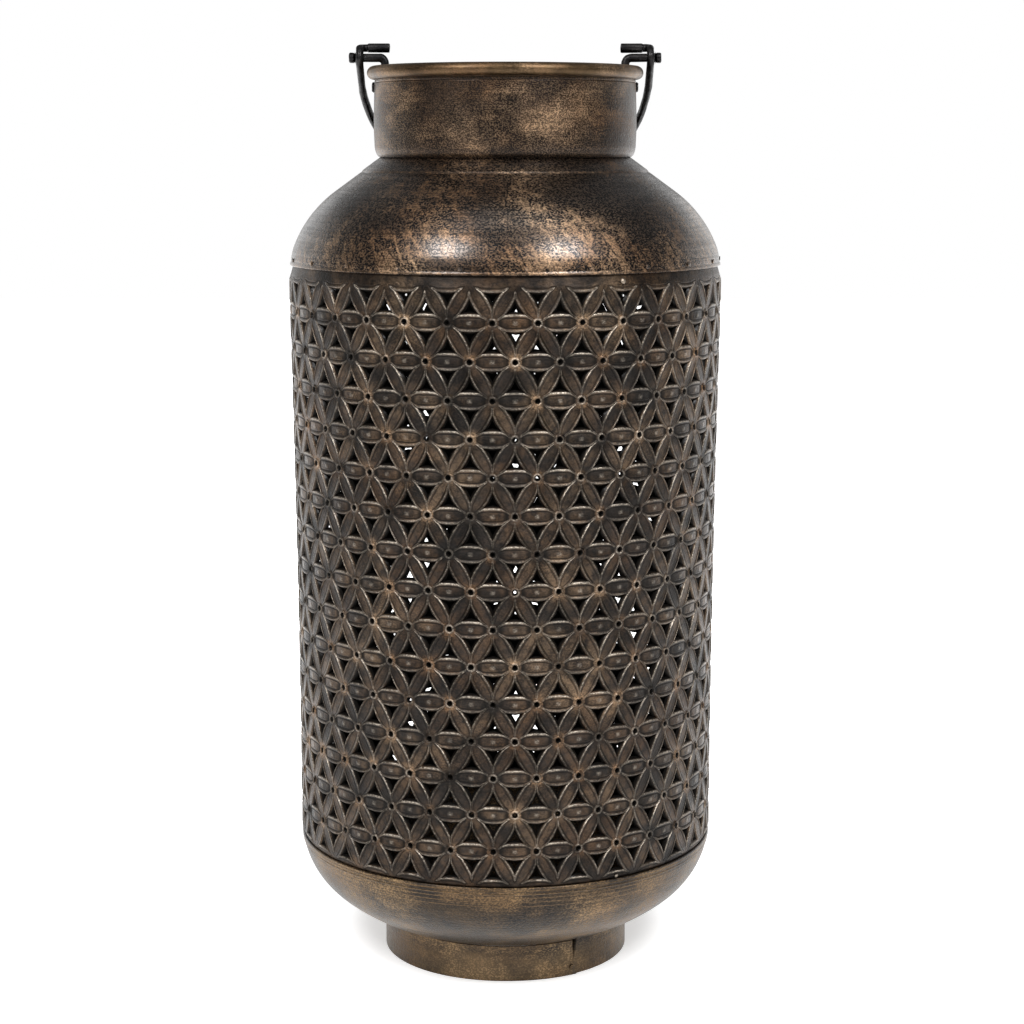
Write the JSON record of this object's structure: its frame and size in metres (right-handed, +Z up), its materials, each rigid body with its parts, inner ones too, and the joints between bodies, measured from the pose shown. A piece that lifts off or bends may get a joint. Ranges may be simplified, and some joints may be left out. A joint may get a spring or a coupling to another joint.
{
  "type": "punched tin lantern",
  "caption": "Round punched metal lantern with a pierced petal-lattice cylinder, spun dome shoulder, short open neck and hinged wire bail.",
  "frame": {"origin": "centre of the foot ring's underside, on the floor", "axes": "+Z up along the lantern's axis, -Y towards the front, +X to the right; the bail hangs down behind the neck"},
  "size_m": [0.2622, 0.2622, 0.5602],
  "materials": {
    "foot_bowl_metal": "antiqued brass-brown",
    "sleeve_metal": "antiqued dark bronze",
    "dome_metal": "blackened with copper rub",
    "rim_metal": "golden brown",
    "rivet_metal": "dark bronze",
    "solder": "dull solder",
    "bail_iron": "blackened iron"
  },
  "bodies": {
    "lantern": {"foot_ring": "foot_bowl_metal", "bowl": "foot_bowl_metal", "foot_rivet": "rivet_metal", "shoulder_rivets": "rivet_metal", "punched_sleeve": "sleeve_metal", "seam_solder": "solder", "shoulder": "dome_metal", "neck": "dome_metal", "rim_ring": "rim_metal", "left_ear": "bail_iron", "right_ear": "bail_iron"},
    "bail": {"bail": "bail_iron"}
  },
  "joints": [
    {"name": "bail_hinge", "type": "hinge", "parent": "lantern", "child": "bail", "pos_m": [0, 0, 0.55137], "axis": [1, 0, 0], "range_deg": [0, 135]}
  ]
}
